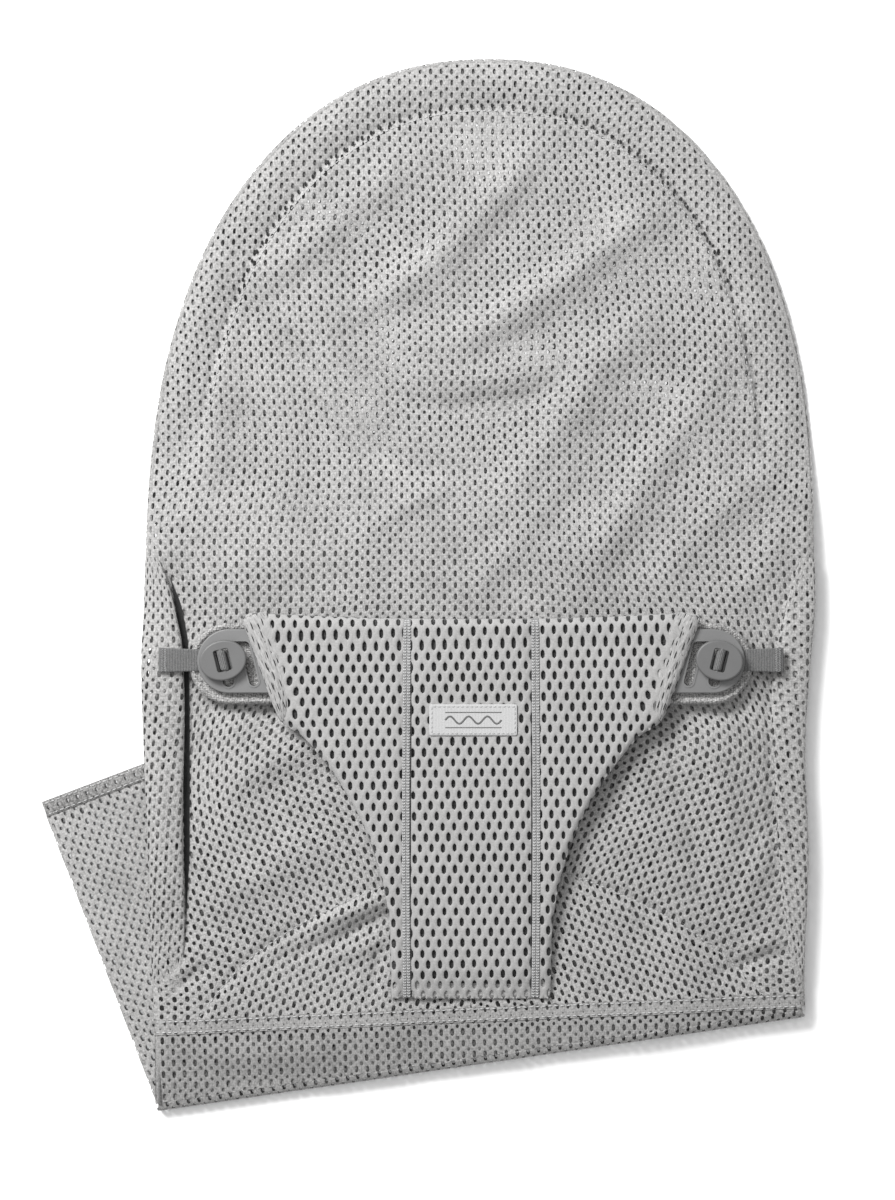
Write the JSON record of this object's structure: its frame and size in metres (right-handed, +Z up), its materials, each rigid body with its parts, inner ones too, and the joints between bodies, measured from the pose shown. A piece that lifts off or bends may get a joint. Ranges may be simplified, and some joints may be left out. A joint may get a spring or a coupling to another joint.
{
  "type": "baby bouncer fabric seat",
  "caption": "Two-layer mesh sleeve seat for a baby bouncer, laid flat with its tail folded under, with a padded harness whose keyhole plates button over strap buttons.",
  "frame": {"origin": "on the surface the seat lies on, under the sleeve's centre line at the harness's lower seam, on the folded tail's lower face", "axes": "+X to the right of the seat seen from above, +Y towards the head end, +Z up"},
  "size_m": [0.4714, 0.6388, 0.0312],
  "materials": {
    "mesh": "light grey knitted mesh",
    "seam_cloth": "light grey doubled mesh, stitched",
    "spacer_mesh": "light grey padded spacer mesh",
    "soft_knit": "light grey soft knit",
    "webbing": "ribbed grey webbing",
    "thread": "grey stitching",
    "label_tape": "off-white woven tape",
    "grey_plastic": "matt moulded grey"
  },
  "bodies": {
    "seat": {"seat_front_panel": "mesh", "seat_back_panel": "mesh", "edge_seam": "seam_cloth", "arch_facing": "seam_cloth", "left_leg_gusset": "mesh", "right_leg_gusset": "mesh", "seat_hem_band": "seam_cloth", "lower_front_panel": "mesh", "left_side_pleat": "mesh", "right_side_pleat": "mesh"},
    "tail": {"tail_front_panel": "mesh", "tail_front_hem": "seam_cloth", "tail_back_panel": "mesh", "tail_back_hem": "seam_cloth", "left_tail_edge": "seam_cloth", "right_tail_edge": "seam_cloth"},
    "harness": {"harness_centre_panel": "spacer_mesh", "harness_left_panel": "spacer_mesh", "harness_right_panel": "spacer_mesh", "left_seam_tape": "soft_knit", "right_seam_tape": "soft_knit", "left_wing_edge": "spacer_mesh", "right_wing_edge": "spacer_mesh", "left_wing_backing": "soft_knit", "right_wing_backing": "soft_knit", "left_keyhole_plate": "grey_plastic", "right_keyhole_plate": "grey_plastic", "woven_label": "label_tape"},
    "left_strap": {"left_strap": "webbing", "left_strap_bartack": "thread"},
    "left_button": {"left_button": "grey_plastic"},
    "right_strap": {"right_strap": "webbing", "right_strap_bartack": "thread"},
    "right_button": {"right_button": "grey_plastic"}
  },
  "joints": [
    {"name": "harness_fold", "type": "hinge", "parent": "seat", "child": "harness", "pos_m": [-0.0055, 0.0012, 0.0166], "axis": [1, 0, 0], "range_deg": [0, 165]},
    {"name": "tail_fold", "type": "hinge", "parent": "seat", "child": "tail", "pos_m": [0.00003, -0.03505, 0.00755], "axis": [-0.9894, -0.1451, 0], "range_deg": [0, 180]},
    {"name": "left_strap_swing", "type": "hinge", "parent": "seat", "child": "left_strap", "pos_m": [-0.195, 0.2075, 0.0207], "axis": [0, -1, 0], "range_deg": [0, 135]},
    {"name": "right_strap_swing", "type": "hinge", "parent": "seat", "child": "right_strap", "pos_m": [0.184, 0.2075, 0.0207], "axis": [0, 1, 0], "range_deg": [0, 135]},
    {"name": "left_button_tilt", "type": "hinge", "parent": "left_strap", "child": "left_button", "pos_m": [-0.1555, 0.2075, 0.0287], "axis": [-0.2419, 0.9703, 0], "range_deg": [-8, 8]},
    {"name": "right_button_tilt", "type": "hinge", "parent": "right_strap", "child": "right_button", "pos_m": [0.1445, 0.2075, 0.0287], "axis": [0.2419, 0.9703, 0], "range_deg": [-8, 8]}
  ]
}
